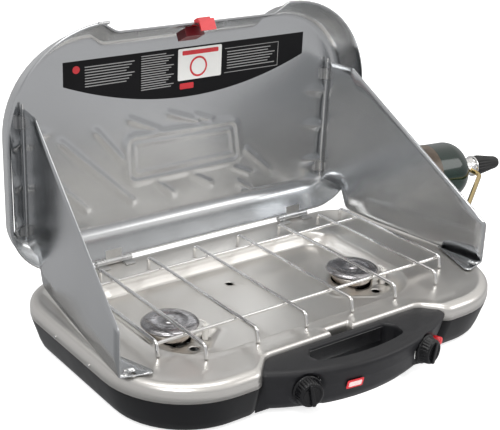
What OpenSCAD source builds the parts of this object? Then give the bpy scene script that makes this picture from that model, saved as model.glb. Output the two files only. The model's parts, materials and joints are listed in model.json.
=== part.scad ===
// Two-burner gas camping stove, open: base with cooktop, lid, fold-in wind screens and gas bottle.
// Millimetres. X runs along the front, Y to the back, Z up. The origin is on the table, under the
// middle of the base.

/* [Base] */
// Width of the base across its skirt
base_w = 564; // [520:2:600]
// Depth of the base across its skirt
base_d = 344; // [330:2:370]
// Height of the cooktop rim above the table
rim_z = 65; // [60:1:72]
// Height of the joint between the black tray and the cooktop skirt
seam_z = 46; // [40:1:50]
// Height of the rubber feet
foot_h = 4; // [3:0.5:6]
// Corner radius of the front corners
front_r = 107; // [80:1:115]
// Corner radius of the rear corners
rear_r = 75; // [50:1:90]

/* [Cooktop] */
// Sideways shift of the burners, which leaves a wide gas shelf on the right
burner_x = -22; // [-30:1:-10]
// Distance between the two burners
burner_gap = 286; // [270:2:300]
// Place of the burners from front to back
burner_y = -17; // [-30:1:0]
// Radius of a burner cap
cap_r = 35; // [28:1:38]

/* [Grate] */
// Spacing of the long grate bars
bar_gap = 71.7; // [66:0.1:74]
// Radius of the long bars
bar_r = 2.5; // [2:0.1:3]
// Height of the middle of the long bars above the table
bar_z = 81; // [78:0.5:86]

/* [Lid] */
// Depth of the lid dish
lid_depth = 43; // [38:1:48]
// Lean of the open lid towards the front, in degrees
lid_lean = 1; // [0:0.5:5]
// Thickness of the lid sheet
lid_t = 1.2; // [0.8:0.1:2]

/* [Front panel] */
// Width of the front panel
panel_w = 286; // [270:2:300]
// How far the grip bows out in front of the panel ends
panel_bow = 41; // [30:1:50]
// Radius of a burner knob
knob_r = 18.5; // [16:0.5:21]
// Place of the left knob
knob_left_x = -95; // [-104:1:-88]
// Place of the right knob
knob_right_x = 83; // [76:1:86]
// Height of the knobs
knob_z = 36; // [32:1:40]

/* [Gas bottle] */
// Radius of the gas bottle
bottle_r = 49.2; // [45:0.1:50]
// Place of the bottle from front to back
bottle_y = 219; // [205:1:230]

/* [Hidden] */
$fn = 48;

eps = 0.01;
gap = 0.3;
// Radial play of a shaft that turns in its hole, and of one that is fixed in it
run_fit = 0.06;
fixed_fit = 0.02;
half_w = base_w / 2;
half_d = base_d / 2;
sheet = 1.2;

// Rim of the cooktop, which stands in from the skirt
rim_in = 12;
rim_front = half_d - rim_in;
rim_rear = half_d - rim_in;

// Front recess that takes the panel
recess_half = panel_w / 2;
recess_neck = recess_half - 23;
recess_turn = 14;
recess_y = -(rim_front - 18);

// Burners, from left to right
burner_xs = [burner_x - burner_gap / 2, burner_x + burner_gap / 2];

// Bowed front face of the panel, seen from above, at the height of the knobs
panel_front = half_d + panel_bow - 2;
bow_r = (pow(panel_w / 2, 2) + pow(panel_bow, 2)) / (2 * panel_bow);
bow_a = asin(panel_w / 2 / bow_r);
bow_cy = -panel_front + bow_r;
face_set = 6;
function face_y(x) = bow_cy - sqrt(pow(bow_r - face_set, 2) - x * x);

// Controls on the panel: left knob, right knob and igniter, each with its own direction
igniter_x = 110;
control_xs = [knob_left_x, knob_right_x, igniter_x];
control_turns = [-12, 12, 24];
function control_axis_x(i, y) =
    control_xs[i] + (face_y(control_xs[i]) - y) * tan(control_turns[i]);

// Puts a shape on control i, with Z pointing out of the panel
module at_control(i, out = 0) {
    translate([control_xs[i], face_y(control_xs[i]), knob_z])
        rotate([0, 0, control_turns[i]])
            rotate([90, 0, 0])
                translate([0, 0, out])
                    children();
}

// Rod of radius r from point a to point b
module rod(a, b, r) {
    d = b - a;
    translate(a)
        rotate([0, acos(d[2] / norm(d)), atan2(d[1], d[0])])
            cylinder(r = r, h = norm(d));
}

// Points of an arc from angle a0 to a1
function arc(x, y, r, a0, a1, n) =
    [for (i = [0:n]) [x + r * cos(a0 + (a1 - a0) * i / n), y + r * sin(a0 + (a1 - a0) * i / n)]];

// Outline with large front corners and smaller rear corners
module plan(hw, front, rear, rf, rr, n = 14) {
    polygon(concat(
        arc(hw - rf, -front + rf, rf, -90, 0, n),
        arc(hw - rr, rear - rr, rr, 0, 90, n),
        arc(-hw + rr, rear - rr, rr, 90, 180, n),
        arc(-hw + rf, -front + rf, rf, 180, 270, n)));
}

// Thin slab of the base outline, drawn in by inset, at height z
module base_slab(z, inset) {
    translate([0, 0, z])
        linear_extrude(height = eps)
            plan(half_w - inset, half_d - inset, half_d - inset, front_r - inset, rear_r - inset);
}

// Plan of the front recess; grow moves its walls outwards
module recess_plan(grow) {
    wall_y = recess_y + grow;
    side_x = recess_half + grow;
    neck_x = recess_neck + grow;
    far_y = -2 * half_d;
    polygon([[-side_x - 2, far_y], [-side_x, recess_y - recess_turn], [-neck_x, wall_y],
        [neck_x, wall_y], [side_x, recess_y - recess_turn], [side_x + 2, far_y]]);
}

// Prism that cuts the front recess
module recess_cut(grow) {
    translate([0, 0, -1])
        linear_extrude(height = 4 * rim_z)
            recess_plan(grow);
}

// ---------- base tray ----------
tray_t = 1.5;

module tray_body(inset, low, recess) {
    difference() {
        hull() {
            base_slab(low, 13 + inset);
            base_slab(low + 12, 9 + inset);
            base_slab(seam_z - eps, inset);
        }
        recess_cut(recess);
    }
}

inlet_y = 10;
inlet_z = 34;
inlet_r = 9;
valve_r = 8;
igniter_r = 6.6;

// Hole through the tray's front wall, along a control's axis
module wall_hole(i, r) {
    at_control(i, -80)
        cylinder(r = r, h = 50);
}

module base_tray() {
    color([0.09, 0.09, 0.10])
    difference() {
        tray_body(0, foot_h, 0);
        translate([0, 0, tray_t])
            tray_body(tray_t, foot_h, tray_t);
        // gas inlet in the right wall
        translate([half_w - 40, inlet_y, inlet_z])
            rotate([0, 90, 0])
                cylinder(r = inlet_r + gap, h = 60);
        wall_hole(0, valve_r + 1.5);
        wall_hole(1, valve_r + 1.5);
        wall_hole(2, igniter_r + 1);
    }
}

foot_x = 215;
foot_y = 112.5;
foot_r = 8;
module rubber_feet() {
    color([0.05, 0.05, 0.05])
    for (s = [-1, 1], t = [-1, 1])
        translate([s * foot_x, t * foot_y, 0])
            cylinder(r = foot_r, h = foot_h);
}

// ---------- cooktop pan ----------
basin_x = -20;
basin_floor = 49;
basin_half_w = 194;
basin_front = 108;
basin_rear = 112;

// Cooking basin: a rounded tub with a stepped wall
module basin(grow, low) {
    hull() {
        translate([basin_x, 0, rim_z + 1])
            linear_extrude(height = eps)
                plan(basin_half_w + 1 + grow, basin_front + 1 + grow, basin_rear + 1 + grow, 70, 36, 10);
        translate([basin_x, 0, low + 4])
            linear_extrude(height = eps)
                plan(basin_half_w - 12 + grow, basin_front - 10 + grow, basin_rear - 9 + grow, 60, 28, 10);
        translate([basin_x, 0, low])
            linear_extrude(height = eps)
                plan(basin_half_w - 17 + grow, basin_front - 14 + grow, basin_rear - 12 + grow, 54, 24, 10);
    }
}

module pan_outer(inset, top) {
    difference() {
        hull() {
            base_slab(seam_z, inset);
            base_slab(top - 9, 2.5 + inset);
            base_slab(top - 3, 6.5 + inset);
            base_slab(top - eps, 10.5 + inset);
        }
        recess_cut(inset);
    }
}

well_r = 27;
electrode_dx = 33;
electrode_dy = -26;
drain_y = 57;
hole_low = seam_z - 8;

module cooktop_pan() {
    color([0.78, 0.77, 0.75])
    difference() {
        pan_outer(0, rim_z);
        difference() {
            translate([0, 0, -eps])
                pan_outer(sheet, rim_z - sheet);
            basin(sheet, basin_floor - sheet);
        }
        basin(0, basin_floor);
        // openings under the burners and the central drain hole
        for (x = burner_xs)
            translate([x, burner_y, hole_low])
                cylinder(r = well_r, h = 12);
        translate([burner_x - 3, drain_y, hole_low])
            cylinder(r = 5, h = 12);
        // electrode holes
        for (x = burner_xs)
            translate([x + electrode_dx, burner_y + electrode_dy, hole_low])
                cylinder(r = 4.3, h = 12);
        // notch in the rim that the lid latch drops into
        translate([-20, recess_y - 1, rim_z - 6])
            cube([32, 10, 10]);
        // flat seats and holes of the side screws
        at_screws(-screw_seat) {
            cylinder(r = 2.8, h = 4);
            translate([0, 0, -6])
                cylinder(r = 1.5 + fixed_fit, h = 8);
        }
    }
}

// Side screws, two in each side of the skirt
screw_ys = [-32, 48];
screw_seat = 1;
module at_screws(out) {
    for (s = [-1, 1], y = screw_ys)
        translate([s * (half_w + out), y, seam_z + 3.4])
            rotate([0, s * 90, 0])
                children();
}

module pan_screws() {
    color([0.30, 0.30, 0.31])
    at_screws(-screw_seat + 0.02) {
        cylinder(r = 2.4, h = 2);
        translate([0, 0, -5])
            cylinder(r = 1.5, h = 5.5);
    }
}

// ---------- front panel with grip ----------
panel_low = 5;
panel_top = 60;
panel_t = 3;
grip_t = 18;

// Plan of the panel, drawn in by inset at its bowed face and by side at its ends
module panel_plan(inset, lift, side, back) {
    polygon(concat(
        arc(0, bow_cy, bow_r - inset, -90 - bow_a + lift, -90 + bow_a - lift, 28),
        [[recess_half - 1 - side, recess_y - recess_turn - 1], [recess_neck - 0.5 - side, recess_y + back],
         [-recess_neck + 0.5 + side, recess_y + back], [-recess_half + 1 + side, recess_y - recess_turn - 1]]));
}

module panel_slab(z, inset, lift, side, back) {
    translate([0, 0, z])
        linear_extrude(height = eps)
            panel_plan(inset, lift, side, back);
}

// Outer form of the panel with t = 0, or the hollow inside a wall of thickness t
module panel_form(t, back) {
    lift = t / 4;
    hull() {
        panel_slab(panel_low + t, 21 + t, lift, t, back);
        panel_slab(panel_low + 12, 11 + t, lift, t, back);
        panel_slab(knob_z, face_set + t, lift, t, back);
        panel_slab(panel_top - 6 - t / 2, 2 + t, lift, t, back);
        panel_slab(panel_top - t - eps, 9 + t, 2 + lift, t, back);
    }
}

slot_x0 = -70;
slot_x1 = 60;
slot_back = recess_y - 8;
slot_side = slot_back - 18;

// Finger opening behind the grip; grow makes the block that walls it
module grip_slot(grow) {
    r = bow_r - grip_t + grow;
    translate([0, 0, panel_low - 1 + 1.5 * grow])
        linear_extrude(height = panel_top - panel_low + 2 - 3 * grow)
            polygon(concat(
                arc(0, bow_cy, r, -90 + asin((slot_x0 + 4 - grow) / r), -90 + asin((slot_x1 - 6 + grow) / r), 18),
                [[slot_x1 + grow, slot_side], [slot_x1 - 2 + grow, slot_back + grow],
                 [slot_x0 + 4 - grow, slot_back + grow], [slot_x0 - 4 - grow, slot_side]]));
}

seat_r = knob_r + 2;
seat_out = 1;
module front_panel() {
    color([0.16, 0.16, 0.17])
    difference() {
        union() {
            difference() {
                panel_form(0, -0.5);
                difference() {
                    panel_form(panel_t, 2);
                    grip_slot(2.5);
                }
            }
            // round seats behind the knobs
            for (i = [0, 1])
                at_control(i, -9)
                    cylinder(r = seat_r + 1.5, h = 9 + seat_out);
            at_control(2, -9)
                cylinder(r = button_r + 3, h = 9 + seat_out);
        }
        grip_slot(0);
        for (i = [0, 1]) {
            at_control(i, seat_out)
                cylinder(r = seat_r, h = 30);
            at_control(i, -12)
                cylinder(r = stem_r + 1.5, h = 20);
        }
        at_control(2, -12)
            cylinder(r = button_r + gap, h = 30);
    }
}

strip_w = 120;
module grip_strip() {
    color([0.85, 0.85, 0.84])
    translate([(slot_x0 + slot_x1) / 2 - strip_w / 2, slot_back - 1.3 - gap, 38])
        cube([strip_w, 1.3, 18]);
}

badge_x = -36;
badge_tilt = 14;
module panel_badge() {
    color([0.72, 0.10, 0.12])
    translate([badge_x, face_y(badge_x), knob_z - 3])
        rotate([badge_tilt, 0, asin(badge_x / bow_r)])
            translate([-11, -1.7, -6])
                cube([22, 1.2, 12]);
}

// ---------- knobs and valves ----------
knob_h = 15;
knob_lift = seat_out + 0.5;
stem_r = 3;
stem_in = 20;

module knob_shape() {
    difference() {
        union() {
            cylinder(r = knob_r, h = 3.2);
            translate([0, 0, 3.2])
                cylinder(r1 = knob_r - 2, r2 = knob_r - 4, h = knob_h - 4.7);
            translate([0, 0, knob_h - 1.5])
                cylinder(r1 = knob_r - 4, r2 = knob_r - 6, h = 1.5);
            // finger bar across the face
            translate([-3, -knob_r + 4, 3])
                cube([6, 2 * knob_r - 8, knob_h - 1]);
        }
        translate([0, 0, -1])
            cylinder(r = stem_r + fixed_fit, h = knob_h - 3);
        // grip flutes
        for (a = [15:30:345])
            rotate([0, 0, a])
                translate([knob_r - 1.6, 0, 4])
                    cylinder(r = 1.6, h = knob_h);
    }
}

module knob_left() {
    color([0.07, 0.07, 0.08])
    at_control(0, knob_lift)
        knob_shape();
}

module knob_right() {
    color([0.07, 0.07, 0.08])
    at_control(1, knob_lift)
        knob_shape();
}

module stem_shape() {
    translate([0, 0, -stem_in])
        cylinder(r = stem_r, h = stem_in + knob_lift + knob_h - 4.5);
}

module stem_left() {
    color([0.80, 0.66, 0.36])
    at_control(0)
        stem_shape();
}

module stem_right() {
    color([0.80, 0.66, 0.36])
    at_control(1)
        stem_shape();
}

valve_top = 10;
valve_end = 60;
valve_nose = 8;
module valve_shape() {
    difference() {
        union() {
            translate([0, 0, -valve_top - valve_nose])
                cylinder(r = 6, h = valve_nose);
            translate([0, 0, -valve_end])
                cylinder(r = valve_r, h = valve_end - valve_top - valve_nose);
        }
        translate([0, 0, -stem_in - 1])
            cylinder(r = stem_r + run_fit, h = stem_in);
    }
}

module valve_left() {
    color([0.80, 0.66, 0.36])
    at_control(0)
        valve_shape();
}

module valve_right() {
    color([0.80, 0.66, 0.36])
    at_control(1)
        valve_shape();
}

pipe_r = 4;
pipe_z = knob_z - 15;
pipe_y = recess_y + 6.5;
pipe_turn = [210, pipe_y, pipe_z];
inlet_x = 255;
pipe_corner = [inlet_x, pipe_y + 45, inlet_z];

// Gas pipe from the inlet to both valves
module manifold_pipe() {
    x0 = control_axis_x(0, pipe_y);
    color([0.78, 0.64, 0.36])
    union() {
        rod([x0 - pipe_r, pipe_y, pipe_z], pipe_turn, pipe_r);
        rod(pipe_turn, pipe_corner, pipe_r);
        rod(pipe_corner, [inlet_x, inlet_y, inlet_z], pipe_r);
        translate(pipe_turn)
            sphere(r = pipe_r + 0.4);
        translate(pipe_corner)
            sphere(r = pipe_r + 0.4);
        for (i = [0, 1])
            translate([control_axis_x(i, pipe_y), pipe_y, pipe_z])
                cylinder(r = 3, h = knob_z - valve_r - pipe_z - 0.1);
    }
}

module inlet_fitting() {
    color([0.80, 0.66, 0.36])
    difference() {
        union() {
            translate([inlet_x + pipe_r, inlet_y, inlet_z])
                rotate([0, 90, 0])
                    cylinder(r = inlet_r, h = half_w - inlet_x - pipe_r + 5);
            translate([inlet_x - 7, inlet_y, inlet_z])
                rotate([0, 90, 0])
                    cylinder(r = 12, h = 7 + pipe_r, $fn = 6);
        }
        // seat of the manifold pipe
        translate([inlet_x, inlet_y - 20, inlet_z])
            rotate([-90, 0, 0])
                cylinder(r = pipe_r + fixed_fit, h = 20 + fixed_fit);
        translate([plug_x0 - 1, inlet_y, inlet_z])
            rotate([0, 90, 0])
                cylinder(r = plug_r + run_fit, h = 60);
    }
}

// ---------- burners ----------
bowl_z = 44;
tube_z = 34;
neck_r = 8.2;

// Mixing tube from the valve to the neck under a bowl
module burner_tube(i) {
    start_y = face_y(control_xs[i]) + (valve_end + 6) * cos(control_turns[i]);
    x = burner_xs[i];
    union() {
        rod([control_axis_x(i, start_y), start_y, tube_z], [x, burner_y, tube_z], 7);
        translate([x, burner_y, tube_z - neck_r])
            cylinder(r = neck_r, h = bowl_z - tube_z + neck_r - 0.05);
    }
}

module burner_tube_left() {
    color([0.66, 0.66, 0.67])
        burner_tube(0);
}

module burner_tube_right() {
    color([0.66, 0.66, 0.67])
        burner_tube(1);
}

bowl_t = 1.4;
module burner_bowl(i) {
    translate([burner_xs[i], burner_y, bowl_z])
        rotate_extrude()
            polygon([[3.1, 0], [20, 0], [25.5, 6], [27.5, 14], [31, 15], [31, 16.4], [26.6, 15.6],
                [24.2, 6.6], [19.4, bowl_t], [3.1, bowl_t]]);
}

module burner_bowl_left() {
    color([0.82, 0.82, 0.83])
        burner_bowl(0);
}

module burner_bowl_right() {
    color([0.82, 0.82, 0.83])
        burner_bowl(1);
}

// Corrugated ring pack that the flame comes out of
ring_r = 29;
module burner_ring(i) {
    translate([burner_xs[i], burner_y, bowl_z + 16.6])
        linear_extrude(height = 5)
            difference() {
                circle(r = ring_r);
                circle(r = ring_r - 7);
                for (a = [0:12:348])
                    rotate(a)
                        translate([ring_r, 0])
                            square([3, 2.4], center = true);
            }
}

module burner_ring_left() {
    color([0.60, 0.60, 0.61])
        burner_ring(0);
}

module burner_ring_right() {
    color([0.60, 0.60, 0.61])
        burner_ring(1);
}

cap_z = bowl_z + 21.8;
module burner_cap(i) {
    translate([burner_xs[i], burner_y, cap_z])
        rotate_extrude()
            polygon([[3.2, 0], [cap_r - 3, 0], [cap_r, -2.4], [cap_r, -1], [cap_r - 2, 1.4],
                [21, 2.6], [20, 1.8], [9, 1.8], [8, 3], [3.2, 3]]);
}

module burner_cap_left() {
    color([0.25, 0.25, 0.28])
        burner_cap(0);
}

module burner_cap_right() {
    color([0.25, 0.25, 0.28])
        burner_cap(1);
}

module cap_screws() {
    shank_z = bowl_z + bowl_t + 0.2;
    color([0.75, 0.75, 0.76])
    for (x = burner_xs)
        translate([x, burner_y, 0]) {
            translate([0, 0, shank_z])
                cylinder(r = 3, h = cap_z + 3.2 - shank_z);
            translate([0, 0, cap_z + 3.1])
                cylinder(r = 5.5, h = 2.4, $fn = 6);
        }
}

// Strap under each bowl, held to the pan floor
strap_half = 46;
strap_z = bowl_z - 2.6;
module burner_bracket(i) {
    translate([burner_xs[i], burner_y, 0])
        difference() {
            union() {
                translate([-strap_half, -9, strap_z])
                    cube([2 * strap_half, 18, 2]);
                for (s = [-1, 1])
                    translate([s * (strap_half - 1) - 1, -9, strap_z])
                        cube([2, 18, basin_floor - sheet - strap_z - 0.1]);
            }
            translate([0, 0, strap_z - 1])
                cylinder(r = neck_r + 0.1, h = 4);
        }
}

module burner_bracket_left() {
    color([0.70, 0.70, 0.71])
        burner_bracket(0);
}

module burner_bracket_right() {
    color([0.70, 0.70, 0.71])
        burner_bracket(1);
}

// ---------- igniter ----------
button_r = 5.2;
button_out = 12;
button_in = 10;
spring_len = 10.4;
igniter_len = 24;

module igniter_button() {
    color([0.80, 0.07, 0.08])
    at_control(2, -button_in)
        union() {
            cylinder(r = button_r, h = button_in + button_out - 1);
            translate([0, 0, button_in + button_out - 1])
                cylinder(r1 = button_r, r2 = button_r - 1, h = 1);
        }
}

spring_r = 3.6;
module igniter_spring() {
    color([0.70, 0.70, 0.71])
    at_control(2, -button_in - spring_len)
        for (k = [0:3])
            translate([0, 0, k * 2.5 + 0.9])
                rotate_extrude()
                    translate([spring_r, 0])
                        circle(r = 0.6, $fn = 16);
}

module igniter_body() {
    color([0.85, 0.84, 0.80])
    at_control(2, -button_in - spring_len - 0.4 - igniter_len)
        cylinder(r = igniter_r, h = igniter_len);
}

module electrode(i) {
    translate([burner_xs[i] + electrode_dx, burner_y + electrode_dy, 0])
        union() {
            translate([0, 0, 38])
                cylinder(r = 4, h = 26);
            translate([0, 0, 34])
                cylinder(r = 0.9, h = 33.5);
            rod([0, 0, 67], [-6, 5, 70], 0.8);
        }
}

module electrode_left() {
    color([0.93, 0.92, 0.88])
        electrode(0);
}

module electrode_right() {
    color([0.93, 0.92, 0.88])
        electrode(1);
}

lead_r = 1.6;

// One ignition wire: out of the igniter, down to the tray and along it to an electrode
module lead(i) {
    z = 17 + 5 * i;
    tail_y = recess_y + 3;
    a = [control_axis_x(2, tail_y) - 2 + 4 * i, tail_y, knob_z];
    b = [a[0] + 2, -116 + 4 * i, z];
    c = [burner_xs[i] + electrode_dx, burner_y + electrode_dy, z];
    union() {
        rod(a, b, lead_r);
        rod(b, c, lead_r);
        rod(c, [c[0], c[1], 33.8], lead_r);
        translate(b)
            sphere(r = lead_r + 0.6);
        translate(c)
            sphere(r = lead_r + 0.6);
    }
}

module ignition_leads() {
    color([0.15, 0.15, 0.15])
    for (i = [0, 1])
        lead(i);
}

// ---------- grate ----------
bar_front = -112;
bar_rear = 124;
side_x = 221;
side_front = -78;
cross_r = 2.2;
cross_ys = [-71, 93];
bend_r = 6;
leg_low = rim_z + gap;
tip_h = 1.3;

// Quarter of a ring, or less: a bend in round wire
module wire_bend(r, bend, a0, a1) {
    rotate([0, 0, a0])
        rotate_extrude(angle = a1 - a0)
            translate([bend, 0])
                circle(r = r, $fn = 24);
}

// Lays a drawing made in XY into the YZ plane
module in_yz() {
    rotate([90, 0, 90])
        children();
}

// Upright leg of a bar, with a chamfered tip that stands on the rim
module bar_leg(x, y) {
    translate([x, y, leg_low])
        cylinder(r1 = bar_r - 1.3, r2 = bar_r, h = tip_h);
    translate([x, y, leg_low + tip_h])
        cylinder(r = bar_r, h = bar_z - bend_r - leg_low - tip_h);
}

module grate_bar(x, front) {
    union() {
        translate([x, bar_rear - bend_r, bar_z])
            rotate([90, 0, 0])
                cylinder(r = bar_r, h = bar_rear - front - 2 * bend_r);
        translate([x, front + bend_r, bar_z - bend_r])
            in_yz()
                wire_bend(bar_r, bend_r, 90, 180);
        bar_leg(x, front);
        translate([x, bar_rear - bend_r, bar_z - bend_r])
            in_yz()
                wire_bend(bar_r, bend_r, 0, 90);
        bar_leg(x, bar_rear);
    }
}

module grate_bars() {
    color([0.80, 0.80, 0.81]) {
        for (k = [-2.5:1:2.5])
            grate_bar(k * bar_gap, bar_front);
        for (s = [-1, 1])
            grate_bar(s * side_x, side_front);
    }
}

module grate_crossbars() {
    z = bar_z - bar_r - cross_r - 0.02;
    color([0.80, 0.80, 0.81])
    for (y = cross_ys)
        rod([-side_x - 3, y, z], [side_x + 3, y, z], cross_r);
}

// ---------- lid ----------
hinge_y = rim_rear + 2;
hinge_z = rim_z + 4.6;
lid_z = hinge_z + 0.6;

// Moves a shape drawn for the closed lid to the open lid
module opened() {
    translate([0, hinge_y, hinge_z])
        rotate([-90 + lid_lean, 0, 0])
            translate([0, -hinge_y, -hinge_z])
                children();
}

// Corner radius of the lid's front corners, and how far its front and side edges stay inside the base
lid_front_r = 136;
lid_short = 7;
lid_side = 4;
// How far the lid's front wall leans in over the lid's depth, and the place of its recess
wall_draft = 24;
lid_recess_x = -10;
lid_recess_in = 3;

// Slab of the lid at height z above its rim; side, back and front draw its edges in
module lid_slab(z, side, back, front) {
    translate([0, 0, lid_z + z])
        linear_extrude(height = eps)
            plan(half_w - lid_side - side, rim_front - lid_short - front, hinge_y - 5 - back,
                lid_front_r - front, rear_r - lid_side - side - back);
}

// Leaning cut of the recess in the lid's front edge
module lid_recess(grow) {
    reach = 2;
    lean_in = wall_draft / lid_depth;
    hull()
        for (w = [-reach, lid_depth + reach])
            translate([lid_recess_x, lid_recess_in + w * lean_in, lid_z + w])
                linear_extrude(height = eps)
                    recess_plan(grow);
}

module lid_body(in_t, drop) {
    difference() {
        hull() {
            lid_slab(-drop, in_t, in_t, in_t);
            lid_slab(lid_depth * 0.3, 2 + in_t, 5 + in_t, 6 + in_t);
            lid_slab(lid_depth - 8, 7 + in_t, 14 + in_t, 16 + in_t);
            lid_slab(lid_depth - 2 - in_t, 11 + in_t, 18 + in_t, 20 + in_t);
            lid_slab(lid_depth - in_t - eps, 20 + in_t, 22 + in_t, 26 + in_t);
        }
        lid_recess(in_t - 1);
    }
}

// Places a shape on the outer face of the closed lid's leaning front wall, with -Y outwards and
// +Z along the wall from its edge
wall_a = atan(wall_draft / lid_depth);
module on_wall(x) {
    translate([x, recess_y + lid_recess_in - 1, lid_z])
        rotate([-wall_a, 0, 0])
            children();
}
latch_slot_s = 22;

module lid_shell() {
    color([0.72, 0.73, 0.75])
    opened()
        difference() {
            lid_body(0, 0);
            lid_body(lid_t, 1);
            // slot that the latch stem slides along
            on_wall(stem_x - latch_travel - latch_stem_r - 1)
                translate([0, -6, latch_slot_s - latch_stem_r - gap])
                    cube([latch_travel + 2 * latch_stem_r + 2, 12, 2 * latch_stem_r + 2 * gap]);
        }
}

knuckle_r = 4.2;
knuckle_w = 24;
pin_r = 2;
leaf_w = 14;
knuckle_xs = [-150, 150];

module lid_knuckles() {
    color([0.66, 0.67, 0.69])
    opened()
        for (x = knuckle_xs)
            difference() {
                union() {
                    translate([x + gap, hinge_y, hinge_z])
                        rotate([0, 90, 0])
                            cylinder(r = knuckle_r, h = knuckle_w - 2 * gap);
                    translate([x + gap, hinge_y - 16, hinge_z - 0.6])
                        cube([knuckle_w - 2 * gap, 16, 1.1]);
                }
                translate([x - 1, hinge_y, hinge_z])
                    rotate([0, 90, 0])
                        cylinder(r = pin_r + run_fit, h = knuckle_w + 2);
            }
}

module base_knuckles() {
    color([0.66, 0.67, 0.69])
    for (x = knuckle_xs, s = [0, 1])
        difference() {
            union() {
                translate([x - leaf_w + s * (knuckle_w + leaf_w), hinge_y, hinge_z])
                    rotate([0, 90, 0])
                        cylinder(r = knuckle_r, h = leaf_w);
                translate([x - leaf_w + s * (knuckle_w + leaf_w), hinge_y - leaf_w, rim_z + 0.05])
                    cube([leaf_w, leaf_w, 1.6]);
            }
            translate([x - leaf_w - 1, hinge_y, hinge_z])
                rotate([0, 90, 0])
                    cylinder(r = pin_r + fixed_fit, h = knuckle_w + 2 * leaf_w + 2);
        }
}

module hinge_pin() {
    color([0.75, 0.75, 0.76])
    for (x = knuckle_xs)
        translate([x - leaf_w - 2, hinge_y, hinge_z])
            rotate([0, 90, 0])
                cylinder(r = pin_r, h = knuckle_w + 2 * leaf_w + 4);
}

// Inner face of the lid, with u across and v up from the hinge line; children grow off the face
face_w = lid_depth - lid_t;
module on_face(u, v, off) {
    opened()
        translate([u, hinge_y - v, lid_z + face_w - off])
            rotate([180, 0, 0])
                children();
}

label_v = 261;
label_half = 190;
label_drop = 31;
label_bow = 37;
module label_shape() {
    polygon(concat(
        [[label_half, 0], [-label_half, 0]],
        [for (i = [-8:8]) [label_half * i / 8, -label_drop - label_bow * (1 - pow(i / 8, 2))]]));
}

module lid_label() {
    color([0.10, 0.10, 0.11])
    on_face(6, label_v, 0.05)
        linear_extrude(height = 0.4)
            label_shape();
}

module label_panel() {
    color([0.92, 0.92, 0.90])
    on_face(19.5, label_v - 2, 0.5)
        translate([-35, -43, 0])
            cube([70, 43, 0.4]);
}

// Latch
latch_x = 3;
latch_travel = 16;
latch_w = 19;
latch_stem_r = 2.5;
stem_x = latch_x - 9;
washer_r = 4;
house_t = 1.2;
house_x0 = stem_x - latch_travel - washer_r - 2;
house_w = latch_travel + 2 * washer_r + 4;
house_h = 11;
house_s = 11;
house_len = 22;

// Dark cover on the inside of the lid's front wall, over the end of the latch stem
module latch_housing() {
    color([0.30, 0.04, 0.05])
    opened()
        on_wall(house_x0)
            translate([0, lid_t + 0.1, house_s])
                difference() {
                    cube([house_w, house_h, house_len]);
                    translate([house_t, -1, house_t])
                        cube([house_w - 2 * house_t, house_h + 1 - house_t, house_len - 2 * house_t]);
                }
}

// Latch that slides along the front wall of the lid; its toe hooks into the notch in the rim
module latch_slide() {
    color([0.80, 0.07, 0.08])
    opened()
        on_wall(latch_x)
            union() {
                // strip along the wall and grip at its edge
                translate([-latch_w, -3 - gap, -6])
                    cube([latch_w + 3, 3, 33]);
                translate([-latch_w, -6, -6])
                    cube([latch_w, 6 - gap, 10]);
                // toe that hooks in front of the rim
                translate([-latch_w, -3 - gap, -8])
                    cube([latch_w + 4, 15, 2.5]);
                // stem through the wall, with its washer
                translate([stem_x - latch_x, -1, latch_slot_s])
                    rotate([-90, 0, 0])
                        cylinder(r = latch_stem_r, h = 6);
                translate([stem_x - latch_x, lid_t + 1, latch_slot_s])
                    rotate([-90, 0, 0])
                        cylinder(r = washer_r, h = 2);
            }
}

// ---------- wind screens ----------
screen_t = 1;
screen_x = 242;
screen_off = 5;
screen_out = 7.5;
screen_low = rim_z + 1.6;
screen_len = 302;
screen_h = 217;
foot_w = 38;
foot_len = 72;
wire_r = 1.6;
roll_r = 2.8;
sheet_edge = 4.4;
clip_r = 3.2;
clip_h = 16;
clip_bs = [56, 199];
roll_low = 40;

// The hinge line of a screen runs up the face of the leaning lid
screen_w = 0.6 + face_w - screen_off;
screen_y = hinge_y + screen_w / cos(lid_lean) - (screen_low - hinge_z) * tan(lid_lean);
module screen_axis(s) {
    translate([s * screen_x, screen_y, screen_low])
        rotate([lid_lean, 0, 0])
            children();
}

// Side view of a screen in its own plane: a forwards from the hinge line, b upwards
module screen_side() {
    lean = tan(lid_lean);
    rotate(lid_lean)
        polygon([[sheet_edge + 37 * lean, 37], [sheet_edge + screen_h * lean, screen_h], [52, screen_h],
            [screen_len - 8, 61], [screen_len - 2, 59], [screen_len, 53], [screen_len, 0], [118, 0],
            [58, 3], [46, 34], [42, 37]]);
}

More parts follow.
